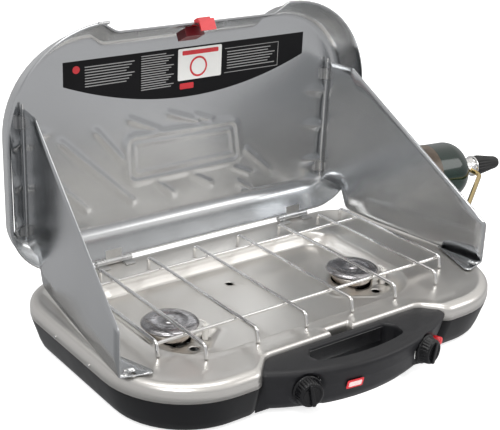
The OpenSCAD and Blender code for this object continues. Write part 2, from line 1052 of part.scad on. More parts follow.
module windscreen(s) {
    roll_b = [roll_low, clip_bs[0] + clip_h / 2 + 0.5, clip_bs[1] + clip_h / 2 + 0.5];
    roll_h = [clip_bs[0] - clip_h / 2 - roll_low - 0.5, clip_bs[1] - clip_bs[0] - clip_h - 1,
        screen_h - clip_bs[1] - clip_h / 2 - 1];
    screen_axis(s)
        rotate([0, 0, s * screen_out])
            difference() {
                union() {
                    rotate([90, 0, -90])
                        translate([0, 0, -screen_t / 2])
                            linear_extrude(height = screen_t)
                                screen_side();
                    // edge rolled round the wire, between the clips
                    for (i = [0:2]) {
                        translate([0, 0, roll_b[i]])
                            cylinder(r = roll_r, h = roll_h[i]);
                        translate([-screen_t / 2, -sheet_edge - 1, roll_b[i]])
                            cube([screen_t, sheet_edge + 1, roll_h[i]]);
                    }
                    // in-turned foot that lies on the rim
                    rotate([-lid_lean, 0, 0])
                        translate([0, 0, -screen_t])
                            linear_extrude(height = screen_t + 0.5)
                                polygon([[s * screen_t / 2, -screen_len + foot_len], [s * screen_t / 2, -screen_len],
                                    [-s * foot_w, -screen_len - 6], [-s * foot_w, -screen_len + 2],
                                    [-s * 4, -screen_len + foot_len]]);
                }
                cylinder(r = wire_r + fixed_fit, h = screen_h + 20);
            }
}

module windscreen_left() {
    color([0.55, 0.57, 0.59])
        windscreen(-1);
}

module windscreen_right() {
    color([0.55, 0.57, 0.59])
        windscreen(1);
}

module screen_wire(s) {
    screen_axis(s)
        translate([0, 0, roll_low - 2])
            cylinder(r = wire_r, h = screen_h + 7 - roll_low);
}

module screen_wire_left() {
    color([0.75, 0.75, 0.76])
        screen_wire(-1);
}

module screen_wire_right() {
    color([0.75, 0.75, 0.76])
        screen_wire(1);
}

module screen_clips(s) {
    screen_axis(s)
        for (b = clip_bs)
            difference() {
                union() {
                    translate([0, 0, b - clip_h / 2])
                        cylinder(r = clip_r, h = clip_h);
                    translate([-8, 1, b - clip_h / 2])
                        cube([16, screen_off - 1.1, clip_h]);
                }
                translate([0, 0, b - clip_h / 2 - 1])
                    cylinder(r = wire_r + run_fit, h = clip_h + 2);
            }
}

module screen_clips_left() {
    color([0.70, 0.71, 0.73])
        screen_clips(-1);
}

module screen_clips_right() {
    color([0.70, 0.71, 0.73])
        screen_clips(1);
}

// ---------- gas bottle and regulator ----------
bottle_z = bottle_r + 0.6;
bottle_x0 = 390;
bottle_x1 = 544;
bottle_yaw = -7.3;
dome_h = 35;
neck_x = 592;
neck_r_out = 11;
tube_r = 4;
plug_r = 5.95;
plug_x0 = 264;
plug_hex_x = half_w + 6;

// The tube runs in a plane that tilts up from the inlet to the regulator
tube_tilt = atan((bottle_z - inlet_z) / (bottle_y - inlet_y));
tube_reach = norm([bottle_y - inlet_y, bottle_z - inlet_z]);
tube_a = 35;
tube_x = 592;
tube_start = plug_hex_x + 6;
turn_1 = 50;
turn_2 = 28;
corner_y = tube_reach - 36;
corner_x = tube_x - corner_y / tan(tube_a);
bend_1 = [corner_x - turn_1 * tan(tube_a / 2), turn_1];
bend_2 = [tube_x - turn_2, corner_y + turn_2 * tan((90 - tube_a) / 2)];

// Ends of the slanted stretch between the two bends
slant_a = bend_1 + turn_1 * [sin(tube_a), -cos(tube_a)];
slant_b = bend_2 + turn_2 * [sin(tube_a), -cos(tube_a)];

// Swings the bottle and the regulator sideways about the end of the tube
module on_gas_axis() {
    translate([tube_x, bottle_y, bottle_z])
        rotate([0, 0, bottle_yaw])
            translate([-tube_x, 0, 0])
                children();
}

module tube_plane() {
    translate([0, inlet_y, inlet_z])
        rotate([tube_tilt, 0, 0])
            children();
}

// Ferrule over the joint between a bend and a straight stretch, along direction a
module ferrule(p, a) {
    translate([p[0], p[1], 0])
        rotate([0, 90, a])
            translate([0, 0, -1])
                cylinder(r = tube_r + 0.3, h = 2);
}

module tube_plug() {
    color([0.80, 0.66, 0.36])
    difference() {
        union() {
            translate([plug_x0, inlet_y, inlet_z])
                rotate([0, 90, 0])
                    cylinder(r = plug_r, h = plug_hex_x - plug_x0 + 1);
            translate([plug_hex_x, inlet_y, inlet_z])
                rotate([0, 90, 0])
                    cylinder(r = 10.5, h = 12, $fn = 6);
        }
        translate([tube_start, inlet_y, inlet_z])
            rotate([0, 90, 0])
                cylinder(r = tube_r + fixed_fit, h = 30);
    }
}

module regulator_tube() {
    color([0.78, 0.66, 0.32])
    tube_plane()
        union() {
            rod([tube_start, 0, 0], [bend_1[0], 0, 0], tube_r);
            ferrule([bend_1[0], 0], 0);
            translate([bend_1[0], bend_1[1], 0])
                wire_bend(tube_r, turn_1, -90, -90 + tube_a);
            ferrule(slant_a, tube_a);
            rod([slant_a[0], slant_a[1], 0], [slant_b[0], slant_b[1], 0], tube_r);
            ferrule(slant_b, tube_a);
            translate([bend_2[0], bend_2[1], 0])
                wire_bend(tube_r, turn_2, -90 + tube_a, 0);
            ferrule([tube_x, bend_2[1]], 90);
            rod([tube_x, bend_2[1], 0], [tube_x, tube_reach - 12, 0], tube_r);
        }
}

module regulator_body() {
    color([0.84, 0.84, 0.85])
    difference() {
        union() {
            on_gas_axis()
                translate([neck_x - 10, 0, 0])
                    rotate([0, 90, 0]) {
                        cylinder(r = 15.5, h = 12);
                        translate([0, 0, 12])
                            cylinder(r = 14.5, h = 14);
                        translate([0, 0, 24])
                            cylinder(r = 18, h = 3);
                    }
            tube_plane()
                translate([tube_x, tube_reach - 18, 0])
                    rotate([-90, 0, 0])
                        cylinder(r = 7, h = 16);
        }
        on_gas_axis()
            translate([neck_x - 11, 0, 0])
                rotate([0, 90, 0])
                    cylinder(r = neck_r_out + run_fit, h = 14);
        tube_plane()
            translate([tube_x, tube_reach - 20, 0])
                rotate([-90, 0, 0])
                    cylinder(r = tube_r + fixed_fit, h = 8 + fixed_fit);
    }
}

cap_rib_r = 1.3;
module regulator_cap() {
    color([0.06, 0.06, 0.06])
    on_gas_axis()
        translate([neck_x + 17.2, 0, 0])
            rotate([0, 90, 0])
                difference() {
                    union() {
                        cylinder(r = 17, h = 14);
                        translate([0, 0, 14])
                            cylinder(r1 = 17, r2 = 11, h = 34);
                        translate([0, 0, 48])
                            cylinder(r1 = 11, r2 = 8, h = 6);
                    }
                    for (a = [0:20:340])
                        rotate([0, 0, a])
                            translate([17.4, 0, -1])
                                cylinder(r = cap_rib_r, h = 30, $fn = 16);
                }
}

// Half section of the bottle, drawn in by t; x is the radius and y runs along the bottle
function bottle_side(t) = concat(
    [for (i = [0:8]) [bottle_r - 20 + (20 - t) * sin(i * 90 / 8), bottle_x0 - (20 - t) * cos(i * 90 / 8)]],
    [for (i = [0:10]) [14 + (bottle_r - 14 - t) * cos(i * 9), bottle_x1 + (dome_h - t) * sin(i * 9)]]);

module gas_bottle() {
    color([0.03, 0.20, 0.14])
    on_gas_axis()
        rotate([0, 90, 0])
            rotate_extrude($fn = 72)
                difference() {
                    polygon(concat([[0, bottle_x0 - 20]], bottle_side(0),
                        [[neck_r_out, bottle_x1 + dome_h], [neck_r_out, neck_x + 2], [0, neck_x + 2]]));
                    polygon(concat([[0, bottle_x0 - 18.6]], bottle_side(1.4),
                        [[8, bottle_x1 + dome_h - 1.4], [8, neck_x + 4], [0, neck_x + 4]]));
                }
}

// Foot ring on the closed end of the bottle
module bottle_collar() {
    color([0.05, 0.05, 0.05])
    on_gas_axis()
        translate([bottle_x0 - 30, 0, 0])
            rotate([0, 90, 0])
                difference() {
                    cylinder(r = bottle_r - 18, h = 9.9);
                    translate([0, 0, -1])
                        cylinder(r = bottle_r - 21, h = 12);
                }
}

label_len = 104;
module bottle_label() {
    color([0.34, 0.22, 0.14])
    on_gas_axis()
        translate([bottle_x0 + 14, 0, 0])
            rotate([0, 90, 0])
                difference() {
                    cylinder(r = bottle_r + 0.25, h = label_len, $fn = 72);
                    translate([0, 0, -1])
                        cylinder(r = bottle_r + 0.05, h = label_len + 2, $fn = 72);
                }
}

base_tray();
rubber_feet();
cooktop_pan();
pan_screws();
front_panel();
grip_strip();
panel_badge();
knob_left();
knob_right();
stem_left();
stem_right();
valve_left();
valve_right();
manifold_pipe();
inlet_fitting();
burner_tube_left();
burner_tube_right();
burner_bowl_left();
burner_bowl_right();
burner_ring_left();
burner_ring_right();
burner_cap_left();
burner_cap_right();
cap_screws();
burner_bracket_left();
burner_bracket_right();
igniter_button();
igniter_spring();
igniter_body();
electrode_left();
electrode_right();
ignition_leads();
grate_bars();
grate_crossbars();
lid_shell();
lid_knuckles();
base_knuckles();
hinge_pin();
lid_label();
label_panel();
latch_slide();
latch_housing();
windscreen_left();
windscreen_right();
screen_wire_left();
screen_wire_right();
screen_clips_left();
screen_clips_right();
tube_plug();
regulator_tube();
regulator_body();
regulator_cap();
gas_bottle();
bottle_collar();
bottle_label();
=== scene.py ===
"""The looks of the camping stove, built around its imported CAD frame. Shapes are drawn in millimetres."""

import json
import math

import bmesh
import bpy
from mathutils import Matrix, Vector, geometry


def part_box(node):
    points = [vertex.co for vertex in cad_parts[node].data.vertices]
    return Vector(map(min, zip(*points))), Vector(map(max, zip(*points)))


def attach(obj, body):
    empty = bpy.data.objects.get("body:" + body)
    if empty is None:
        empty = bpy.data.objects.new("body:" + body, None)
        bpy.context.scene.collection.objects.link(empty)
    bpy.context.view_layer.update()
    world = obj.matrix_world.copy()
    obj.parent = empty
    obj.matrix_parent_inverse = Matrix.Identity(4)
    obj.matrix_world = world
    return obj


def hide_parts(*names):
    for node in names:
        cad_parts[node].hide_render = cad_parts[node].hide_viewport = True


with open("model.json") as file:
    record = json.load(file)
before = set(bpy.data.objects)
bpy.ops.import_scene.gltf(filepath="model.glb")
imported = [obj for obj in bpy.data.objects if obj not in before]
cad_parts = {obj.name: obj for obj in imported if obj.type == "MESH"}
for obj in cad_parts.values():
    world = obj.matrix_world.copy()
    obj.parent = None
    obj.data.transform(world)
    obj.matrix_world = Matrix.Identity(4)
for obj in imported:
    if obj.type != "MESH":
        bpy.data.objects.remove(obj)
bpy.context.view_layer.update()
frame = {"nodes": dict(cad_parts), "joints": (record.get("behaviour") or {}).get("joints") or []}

MM = 0.001
JOINTS = {j["name"]: j for j in frame["joints"]}


def box_mm(node):
    """Lowest and highest corner of a CAD node, in millimetres."""
    low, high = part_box(node)
    return Vector(low) / MM, Vector(high) / MM


# ---------- driving sizes, from the frame ----------
pan_low, pan_high = box_mm("cooktop_pan")
HALF_W = pan_high.x
HALF_D = pan_high.y
RIM_Z = pan_high.z
SEAM_Z = pan_low.z
TRAY_LOW = box_mm("base_tray")[0].z
FRONT_R = 107
REAR_R = 75
RECESS_Y = -142
RECESS_X = 118
RECESS_EASE = 0.3
NOTCH_LEFT, NOTCH_RIGHT = -20, 12
NOTCH_DEEP = 10
LOBE_X = 146
BASIN_X = -20
BASIN_HALF_W = 194
BASIN_FRONT = 108
BASIN_REAR = 112
FLOOR_Z = 49
SHEET_T = 1.2
BURNERS = ("left", "right")


# ---------- small drawing tools ----------
def rounded(corners, steps):
    """Closed outline whose corners (x, y, radius) are rounded by arcs of the given number of steps."""
    points = []
    count = len(corners)
    for i, (x, y, r) in enumerate(corners):
        here = Vector((x, y))
        back = (Vector(corners[i - 1][:2]) - here).normalized()
        ahead = (Vector(corners[(i + 1) % count][:2]) - here).normalized()
        half = math.acos(max(-1, min(1, back.dot(ahead)))) / 2
        cut = r / math.tan(half)
        middle = here + (back + ahead).normalized() * (r / math.sin(half))
        a = here + back * cut - middle
        b = here + ahead * cut - middle
        turn = a.angle_signed(b)
        for k in range(steps + 1):
            p = a.copy()
            p.rotate(Matrix.Rotation(-turn * k / steps, 2))
            points.append((middle.x + p.x, middle.y + p.y))
    return points


def smooth(t):
    """0 below 0, 1 above 1, and a smooth step between them."""
    t = max(0.0, min(1.0, t))
    return t * t * (3 - 2 * t)


def to_segment(p, a, b):
    """Distance of a point from a segment, in the plane."""
    ax, ay = a
    dx, dy = b[0] - ax, b[1] - ay
    t = ((p[0] - ax) * dx + (p[1] - ay) * dy) / (dx * dx + dy * dy)
    t = max(0.0, min(1.0, t))
    return math.hypot(p[0] - ax - t * dx, p[1] - ay - t * dy)


def inside(p, loop):
    """Whether a point is inside a closed outline."""
    hit = False
    x, y = p
    x0, y0 = loop[-1]
    for x1, y1 in loop:
        if (y1 > y) != (y0 > y) and x < (x0 - x1) * (y - y1) / (y0 - y1) + x1:
            hit = not hit
        x0, y0 = x1, y1
    return hit


class Shape:
    """A mesh that is put together from rings and filled sheets, then welded."""

    def __init__(self, place=None):
        self.bm = bmesh.new()
        self.place = place or (lambda x, y, z: (x, y, z))

    def ring(self, points, z):
        return [self.bm.verts.new(self.place(x, y, z)) for x, y in points]

    def loft(self, rings, closed=True, caps=False):
        for low, high in zip(rings, rings[1:]):
            count = len(low)
            for i in range(count if closed else count - 1):
                j = (i + 1) % count
                self.bm.faces.new((low[i], low[j], high[j], high[i]))
        if caps:
            self.bm.faces.new(rings[0][::-1])
            self.bm.faces.new(rings[-1])

    def fill(self, outer, holes=(), step=8, height=lambda x, y: 0.0):
        """Triangulated sheet inside outer and outside holes, raised by height(x, y)."""
        loops = [outer, *holes]
        points = [Vector(p) for loop in loops for p in loop]
        edges = []
        start = 0
        for loop in loops:
            n = len(loop)
            edges += [(start + i, start + (i + 1) % n) for i in range(n)]
            start += n
        xs = [p[0] for p in outer]
        ys = [p[1] for p in outer]
        for i in range(int((max(xs) - min(xs)) / step) + 1):
            for j in range(int((max(ys) - min(ys)) / step) + 1):
                p = (min(xs) + (i + 0.5) * step, min(ys) + (j + 0.5) * step)
                if inside(p, outer) and not any(inside(p, h) for h in holes):
                    if all(to_segment(p, points[a], points[b]) > step * 0.45 for a, b in edges):
                        points.append(Vector(p))
        flat, _, faces, *_ = geometry.delaunay_2d_cdt(points, edges, [], 0, 0.0001)
        verts = [self.bm.verts.new(self.place(p.x, p.y, height(p.x, p.y))) for p in flat]
        for f in faces:
            middle = sum((flat[i] for i in f), Vector((0, 0))) / len(f)
            if inside(middle, outer) and not any(inside(middle, h) for h in holes):
                self.bm.faces.new([verts[i] for i in f])

    def finish(self, name, material, body, replaces=(), weld=0.02, sharp=35, thick=0.0, bevel=0.0):
        bmesh.ops.remove_doubles(self.bm, verts=self.bm.verts, dist=weld)
        loose = [v for v in self.bm.verts if not v.link_faces]
        bmesh.ops.delete(self.bm, geom=loose, context="VERTS")
        bmesh.ops.recalc_face_normals(self.bm, faces=self.bm.faces)
        bmesh.ops.scale(self.bm, vec=(MM, MM, MM), verts=self.bm.verts)
        mesh = bpy.data.meshes.new(name)
        self.bm.to_mesh(mesh)
        self.bm.free()
        piece = bpy.data.objects.new(name, mesh)
        bpy.context.scene.collection.objects.link(piece)
        if thick:
            solid = piece.modifiers.new("sheet", "SOLIDIFY")
            solid.thickness = abs(thick) * MM
            solid.offset = -1 if thick > 0 else 1
        if bevel:
            edge = piece.modifiers.new("edge", "BEVEL")
            edge.width = bevel * MM
            edge.segments = 3
            edge.limit_method = "ANGLE"
            edge.angle_limit = math.radians(40)
        mesh.materials.append(material)
        set_smooth(piece, sharp)
        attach(piece, body)
        if replaces:
            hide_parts(*replaces)
        return piece


def set_smooth(piece, degrees):
    """Smooth shading, with edges sharper than the angle kept hard."""
    mesh = piece.data
    mesh.polygons.foreach_set("use_smooth", [True] * len(mesh.polygons))
    bm = bmesh.new()
    bm.from_mesh(mesh)
    for e in bm.edges:
        if len(e.link_faces) == 2 and e.calc_face_angle(0) > math.radians(degrees):
            e.smooth = False
    bm.to_mesh(mesh)
    bm.free()


def lathe(shape, profile, steps, at, axis, wobble=None):
    """Turns a profile of (radius, height) about an axis; wobble(angle, radius, height) changes the radius."""
    turn = Vector((0, 0, 1)).rotation_difference(Vector(axis).normalized()).to_matrix()
    rings = []
    for r, h in profile:
        ring = []
        for k in range(steps):
            a = 2 * math.pi * k / steps
            rr = wobble(a, r, h) if wobble else r
            spot = Vector((rr * math.cos(a), rr * math.sin(a), h))
            ring.append(shape.bm.verts.new(Vector(at) + turn @ spot))
        rings.append(ring)
    shape.loft(rings)
    return rings


def tube(name, points, radius, material, body, replaces=(), cyclic=False, steps=6):
    """Round wire or pipe along points, in millimetres."""
    data = bpy.data.curves.new(name, "CURVE")
    data.dimensions = "3D"
    data.bevel_depth = radius * MM
    data.bevel_resolution = steps
    data.use_fill_caps = True
    spline = data.splines.new("POLY")
    spline.points.add(len(points) - 1)
    for target, p in zip(spline.points, points):
        target.co = (p[0] * MM, p[1] * MM, p[2] * MM, 1)
    spline.use_cyclic_u = cyclic
    spline.use_smooth = True
    data.materials.append(material)
    piece = bpy.data.objects.new(name, data)
    bpy.context.scene.collection.objects.link(piece)
    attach(piece, body)
    if replaces:
        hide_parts(*replaces)
    return piece


def bent(points, radius, steps=6):
    """Path through points whose inner corners are rounded to a radius."""
    path = [Vector(points[0])]
    for before, here, after in zip(points, points[1:], points[2:]):
        here = Vector(here)
        back = (Vector(before) - here)
        ahead = (Vector(after) - here)
        half = back.angle(ahead) / 2
        cut = min(radius / math.tan(half), back.length * 0.49, ahead.length * 0.49)
        a = here + back.normalized() * cut
        b = here + ahead.normalized() * cut
        for k in range(steps + 1):
            t = k / steps
            path.append(a * (1 - t) ** 2 + here * 2 * t * (1 - t) + b * t * t)
    path.append(Vector(points[-1]))
    return path


# ---------- materials ----------
def material(name, colour, rough, metal=0.0, bump=0.0, bump_scale=200.0, spread=0.0, spread_scale=40.0,
             coat=0.0, stretch=(1, 1, 1), specular=0.5, rough_spread=0.0, second=None):
    """Procedural surface: colour that drifts between two tones, roughness that drifts, and a fine bump."""
    mat = bpy.data.materials.new(name)
    mat.use_nodes = True
    nodes = mat.node_tree.nodes
    links = mat.node_tree.links
    shader = nodes["Principled BSDF"]
    shader.inputs["Metallic"].default_value = metal
    shader.inputs["Roughness"].default_value = rough
    shader.inputs["Coat Weight"].default_value = coat
    shader.inputs["Coat Roughness"].default_value = 0.08
    shader.inputs["Specular IOR Level"].default_value = specular
    shader.inputs["Base Color"].default_value = (*colour, 1)
    where = nodes.new("ShaderNodeTexCoord")
    scale = nodes.new("ShaderNodeMapping")
    scale.inputs["Scale"].default_value = stretch
    links.new(where.outputs["Object"], scale.inputs["Vector"])
    if spread or second:
        drift = nodes.new("ShaderNodeTexNoise")
        drift.inputs["Scale"].default_value = spread_scale
        drift.inputs["Detail"].default_value = 6
        links.new(scale.outputs["Vector"], drift.inputs["Vector"])
        ramp = nodes.new("ShaderNodeValToRGB")
        ramp.color_ramp.elements[0].position = 0.3
        ramp.color_ramp.elements[1].position = 0.7
        other = second or tuple(min(1, c * (1 + spread)) for c in colour)
        ramp.color_ramp.elements[0].color = (*(c * (1 - spread) for c in colour), 1)
        ramp.color_ramp.elements[1].color = (*other, 1)
        links.new(drift.outputs["Fac"], ramp.inputs["Fac"])
        links.new(ramp.outputs["Color"], shader.inputs["Base Color"])
    if rough_spread:
        patch = nodes.new("ShaderNodeTexNoise")
        patch.inputs["Scale"].default_value = spread_scale * 1.7
        patch.inputs["Detail"].default_value = 5
        links.new(scale.outputs["Vector"], patch.inputs["Vector"])
        span = nodes.new("ShaderNodeMapRange")
        span.inputs["To Min"].default_value = max(0.02, rough - rough_spread)
        span.inputs["To Max"].default_value = min(1, rough + rough_spread)
        links.new(patch.outputs["Fac"], span.inputs["Value"])
        links.new(span.outputs["Result"], shader.inputs["Roughness"])
    if bump:
        grain = nodes.new("ShaderNodeTexNoise")
        grain.inputs["Scale"].default_value = bump_scale
        grain.inputs["Detail"].default_value = 4
        links.new(scale.outputs["Vector"], grain.inputs["Vector"])
        relief = nodes.new("ShaderNodeBump")
        relief.inputs["Strength"].default_value = bump
        relief.inputs["Distance"].default_value = 0.0004
        links.new(grain.outputs["Fac"], relief.inputs["Height"])
        links.new(relief.outputs["Normal"], shader.inputs["Normal"])
    return mat


LOOK = {
    "pan": material("pan", (0.70, 0.68, 0.65), 0.30, 0.9, 0.05, 900, 0.03, 9, rough_spread=0.06),
    "tray": material("tray", (0.006, 0.006, 0.007), 0.34, 0.0, 0.12, 700, 0.15, 30, specular=0.3,
                     rough_spread=0.08),
    "rubber": material("rubber", (0.02, 0.02, 0.02), 0.8, 0.0, 0.3, 600, 0.2, 60),
    "panel": material("panel", (0.011, 0.011, 0.013), 0.40, 0.0, 0.3, 1600, 0.12, 60, specular=0.4,
                      rough_spread=0.06),
    "strip": material("strip", (0.86, 0.86, 0.86), 0.16, 1.0, 0.05, 300, 0.03, 20, stretch=(1, 8, 8)),
    "knob": material("knob", (0.005, 0.005, 0.006), 0.25, 0.0, 0.1, 900, 0.2, 60, specular=0.4,
                     rough_spread=0.08),
    "brass": material("brass", (0.62, 0.47, 0.20), 0.22, 1.0, 0.08, 500, 0.10, 40, rough_spread=0.08),
    "bowl": material("bowl", (0.78, 0.76, 0.74), 0.25, 0.9, 0.1, 500, 0.12, 45, rough_spread=0.1,
                     second=(0.50, 0.40, 0.30)),
    "cap": material("cap", (0.40, 0.39, 0.40), 0.12, 1.0, 0.5, 220, 0.35, 90, stretch=(1, 4, 1),
                    rough_spread=0.08),
    "zinc": material("zinc", (0.62, 0.62, 0.62), 0.3, 1.0, 0.1, 500, 0.1, 50, rough_spread=0.1),
    "red": material("red", (0.62, 0.012, 0.02), 0.26, 0.0, 0.06, 400, 0.08, 50, coat=0.4),
    "dark_red": material("dark_red", (0.10, 0.004, 0.008), 0.35, 0.0, 0.06, 400, 0.2, 50),
    "ceramic": material("ceramic", (0.86, 0.84, 0.80), 0.2, 0.0, 0.05, 300, 0.04, 40, coat=0.5),
    "chrome": material("chrome", (0.84, 0.83, 0.82), 0.09, 1.0, 0.05, 300, 0.04, 30, rough_spread=0.05),
    "lid": material("lid", (0.60, 0.61, 0.62), 0.24, 1.0, 0.06, 600, 0.03, 7, rough_spread=0.05),
    "screen": material("screen", (0.56, 0.57, 0.58), 0.22, 1.0, 0.05, 500, 0.04, 8, rough_spread=0.05),
    "film": material("film", (0.004, 0.004, 0.005), 0.35, 0.0, 0.04, 300, 0.1, 30, specular=0.2),
    "white_film": material("white_film", (0.80, 0.80, 0.78), 0.4, 0.0, 0.03, 300, 0.03, 30),
    "badge": material("badge", (0.60, 0.02, 0.03), 0.35, 0.0, 0.05, 300, 0.08, 40),
    "pale": material("pale", (0.75, 0.55, 0.54), 0.4, 0.0, 0.03, 300, 0.05, 40),
    "bottle": material("bottle", (0.001, 0.014, 0.009), 0.14, 0.0, 0.03, 120, 0.2, 25, coat=0.6),
    "band": material("band", (0.05, 0.03, 0.02), 0.3, 0.0, 0.05, 200, 0.2, 60, second=(0.13, 0.10, 0.07)),
    "cap_black": material("cap_black", (0.008, 0.008, 0.008), 0.42, 0.0, 0.15, 600, 0.2, 60),
    "label_grey": material("label_grey", (0.35, 0.35, 0.35), 0.45, 0.0, 0.03, 300, 0.1, 40),
    "wire": material("wire", (0.03, 0.03, 0.03), 0.5, 0.0, 0.1, 400, 0.2, 60),
}

CAD_LOOKS = {
    "zinc": ("pan_screws", "burner_tube_left", "burner_tube_right", "burner_bracket_left",
             "burner_bracket_right", "igniter_spring", "cap_screws", "lid_knuckles", "base_knuckles",
             "hinge_pin", "screen_clips_left", "screen_clips_right"),
    "brass": ("stem_left", "stem_right", "valve_left", "valve_right", "manifold_pipe", "inlet_fitting",
              "tube_plug"),
    "bowl": ("burner_ring_left", "burner_ring_right", "burner_bowl_left", "burner_bowl_right"),
    "ceramic": ("igniter_body", "electrode_left", "electrode_right"),
    "chrome": ("grate_crossbars", "screen_wire_left", "screen_wire_right"),
    "rubber": ("rubber_feet", "bottle_collar"),
    "strip": ("grip_strip",),
    "wire": ("ignition_leads",),
    "red": ("latch_slide",),
    "dark_red": ("latch_housing",),
    "band": ("bottle_label",),
}


def dress_cad():
    """Gives each CAD node that stays visible its own procedural material."""
    for look, nodes in CAD_LOOKS.items():
        for node in nodes:
            mesh = frame["nodes"][node].data
            if not mesh.materials:
                mesh.materials.append(None)
            for i in range(len(mesh.materials)):
                mesh.materials[i] = LOOK[look]


# ---------- base ----------
def base_outline(inset, notched=False, steps=14):
    """Plan of the stove's base, drawn in by inset, with the front recess for the panel.

    The pan's plan also has the notch for the latch in the recess's edge."""
    recess = RECESS_Y + inset * RECESS_EASE
    ease = inset * RECESS_EASE
    side = HALF_W - inset
    front = -HALF_D + inset
    rear = HALF_D - inset
    notch = [(NOTCH_LEFT - ease, recess, 1), (NOTCH_LEFT - ease, recess + NOTCH_DEEP, 2),
             (NOTCH_RIGHT + ease, recess + NOTCH_DEEP, 2), (NOTCH_RIGHT + ease, recess, 1)]
    return rounded([
        (-RECESS_X, recess, 20), *(notch if notched else []), (RECESS_X, recess, 20), (LOBE_X, front, 16),
        (side, front, FRONT_R - inset), (side, rear, REAR_R - inset), (-side, rear, REAR_R - inset),
        (-side, front, FRONT_R - inset), (-LOBE_X, front, 16)], steps)


def basin_outline(inset, front_r, rear_r, steps=14):
    """Plan of the cooking basin, drawn in by inset."""
    left = BASIN_X - BASIN_HALF_W + inset
    right = BASIN_X + BASIN_HALF_W - inset
    front = -BASIN_FRONT + inset * 0.8
    rear = BASIN_REAR - inset * 0.7
    return rounded([(left, front, front_r), (right, front, front_r), (right, rear, rear_r),
                    (left, rear, rear_r)], steps)


def circle(x, y, r, steps=40):
    return [(x + r * math.cos(2 * math.pi * k / steps), y + r * math.sin(2 * math.pi * k / steps))
            for k in range(steps)]


def middle_of(node):
    low, high = box_mm(node)
    return (low.x + high.x) / 2, (low.y + high.y) / 2


BURNER_AT = {side: middle_of("burner_cap_" + side) for side in BURNERS}


def well_depth(x, y):
    """Height of the basin floor: a rounded triangular well in front of each burner, and low ribs."""
    z = FLOOR_Z
    for side in BURNERS:
        cx, cy = BURNER_AT[side]
        well = [(cx - 46, cy - 26), (cx + 50, cy - 22), (cx + 16, cy - 50), (cx - 6, cy - 50)]
        reach = -1.0 if inside((x, y), well) else 1.0
        edge = min(to_segment((x, y), a, b) for a, b in zip(well, well[1:] + well[:1])) * reach
        z -= 4.0 * smooth((5.0 - edge) / 7.0)
        z += 0.9 * smooth(1 - abs(edge - 8.0) / 3.5)
        far = math.hypot(x - cx, y - cy)
        z += 1.0 * smooth(1 - abs(far - 33) / 4.0) * (1 - smooth((5.0 - edge) / 7.0))
    return z


def build_pan():
    shape = Shape()
    edge = [(SEAM_Z, 0), (SEAM_Z + 8, 0), (SEAM_Z + 12, 0.4), (SEAM_Z + 14.5, 1.4), (SEAM_Z + 16.8, 3.4),
            (SEAM_Z + 18.3, 6.2), (RIM_Z, 9.2), (RIM_Z + 0.4, 11.5), (RIM_Z + 0.2, 14.5), (RIM_Z - 0.5, 18)]
    shape.loft([shape.ring(base_outline(d, True), z) for z, d in edge])
    shelf = RIM_Z - 0.5
    shape.fill(base_outline(18, True), [basin_outline(-2, 70, 36)], 14, lambda x, y: shelf)
    wall = [(-2, shelf, 70, 36), (0.2, shelf - 0.5, 69, 35), (2.4, shelf - 1.9, 68, 34),
            (8.5, FLOOR_Z + 7, 63, 31), (12.0, FLOOR_Z + 2.4, 60, 29),
            (14.4, FLOOR_Z + 0.7, 58, 28), (17.5, FLOOR_Z, 56, 26)]
    shape.loft([shape.ring(basin_outline(d, rf, rr), z) for d, z, rf, rr in wall])
    holes = []
    for side in BURNERS:
        cx, cy = BURNER_AT[side]
        holes.append(circle(cx, cy, 27))
        low, high = box_mm("electrode_" + side)
        holes.append(circle(high.x - 4, low.y + 4, 4.6, 20))
        holes.append(circle(cx + 8, cy - 40, 5.5, 24))
    drain_x = (BURNER_AT["left"][0] + BURNER_AT["right"][0]) / 2 - 3
    holes.append(circle(drain_x, 57, 5, 24))
    shape.fill(basin_outline(17.5, 56, 26), holes, 3.2, well_depth)
    shape.finish("cooktop_sheet", LOOK["pan"], "base", ["cooktop_pan"], thick=SHEET_T,
                 sharp=50)


def build_tray():
    shape = Shape()
    levels = [(TRAY_LOW, 18), (TRAY_LOW + 0.8, 15), (TRAY_LOW + 3.5, 12.6), (TRAY_LOW + 12, 9),
              (TRAY_LOW + 26, 4.8), (SEAM_Z - 6, 1.6), (SEAM_Z - 2.6, 0.8), (SEAM_Z - 1.4, 0.5),
              (SEAM_Z - 0.6, 1.0), (SEAM_Z - 0.3, 2.4)]
    shape.loft([shape.ring(base_outline(d), z) for z, d in levels])
    shape.fill(base_outline(18), [], 30, lambda x, y: TRAY_LOW)
    shape.finish("tray_shell", LOOK["tray"], "base", ["base_tray"], thick=1.5, sharp=40)


# ---------- front panel ----------
PANEL_LOW, PANEL_TOP = box_mm("front_panel")[0].z, box_mm("front_panel")[1].z
BOW = 41
BOW_HALF = 143
BOW_R = (BOW_HALF ** 2 + BOW ** 2) / (2 * BOW)
BOW_Y = -(HALF_D + BOW - 2) + BOW_R
SLOT_LEFT, SLOT_RIGHT = -70, 60
SLOT_BACK = RECESS_Y - 8
GRIP_T = 18
SEAT_R = 20.5
SEAT_H = 0.9
PANEL_TILT = 14


def panel_outline(inset):
    span = math.asin(BOW_HALF / BOW_R) - inset / BOW_R * 0.6
    arc = []
    for k in range(121):
        a = -math.pi / 2 - span + 2 * span * k / 120
        arc.append(((BOW_R - inset) * math.cos(a), BOW_Y + (BOW_R - inset) * math.sin(a)))
    return arc + [(142, -157), (119, -141), (-119, -141), (-142, -157)]


